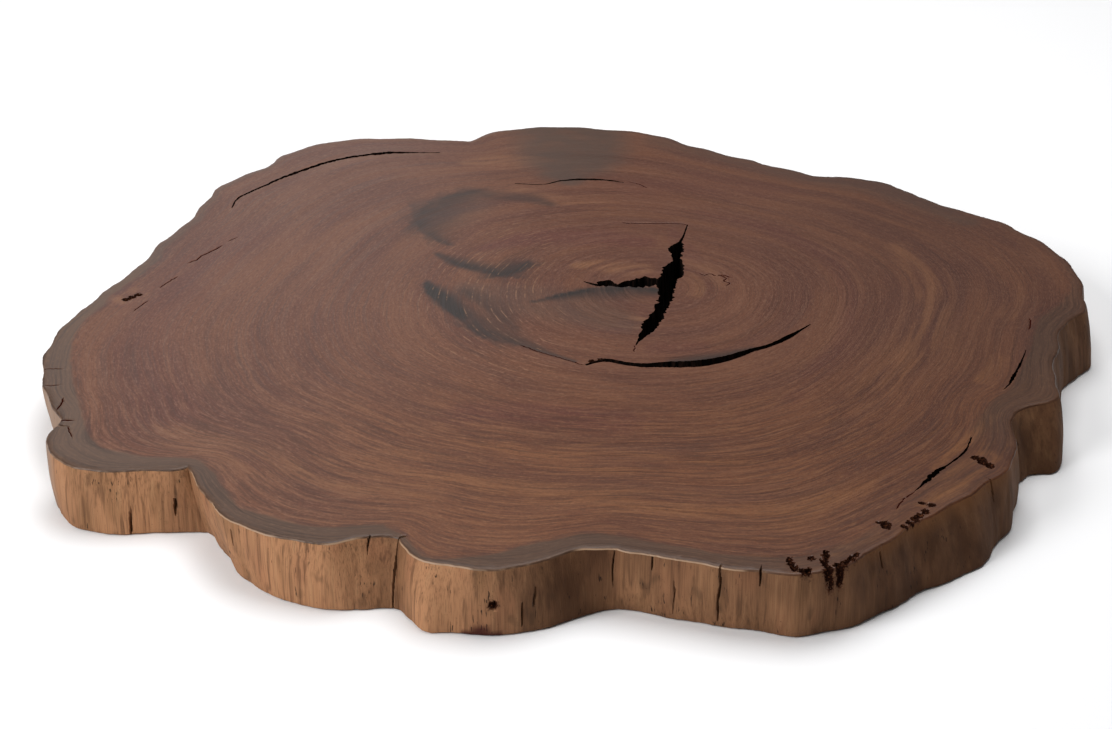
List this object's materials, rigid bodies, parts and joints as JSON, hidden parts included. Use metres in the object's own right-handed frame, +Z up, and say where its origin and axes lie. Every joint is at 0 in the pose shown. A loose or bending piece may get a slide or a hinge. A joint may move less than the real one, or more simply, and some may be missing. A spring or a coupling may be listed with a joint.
{
  "type": "wood slice",
  "caption": "Thick crosscut slice of a lobed hardwood trunk, polished on top, with heart check, ring shakes and a bare, checked wall.",
  "frame": {"origin": "bottom centre of the bounding box, on the plane of the flat underside", "axes": "+Z up through the thickness, out of the polished top face; +X along the wide way, to the right in the picture; +Y to the back"},
  "size_m": [1.2418, 1.2008, 0.075],
  "materials": {
    "wood": "satin"
  },
  "bodies": {
    "root": {"wood_slice": "wood"}
  },
  "joints": []
}
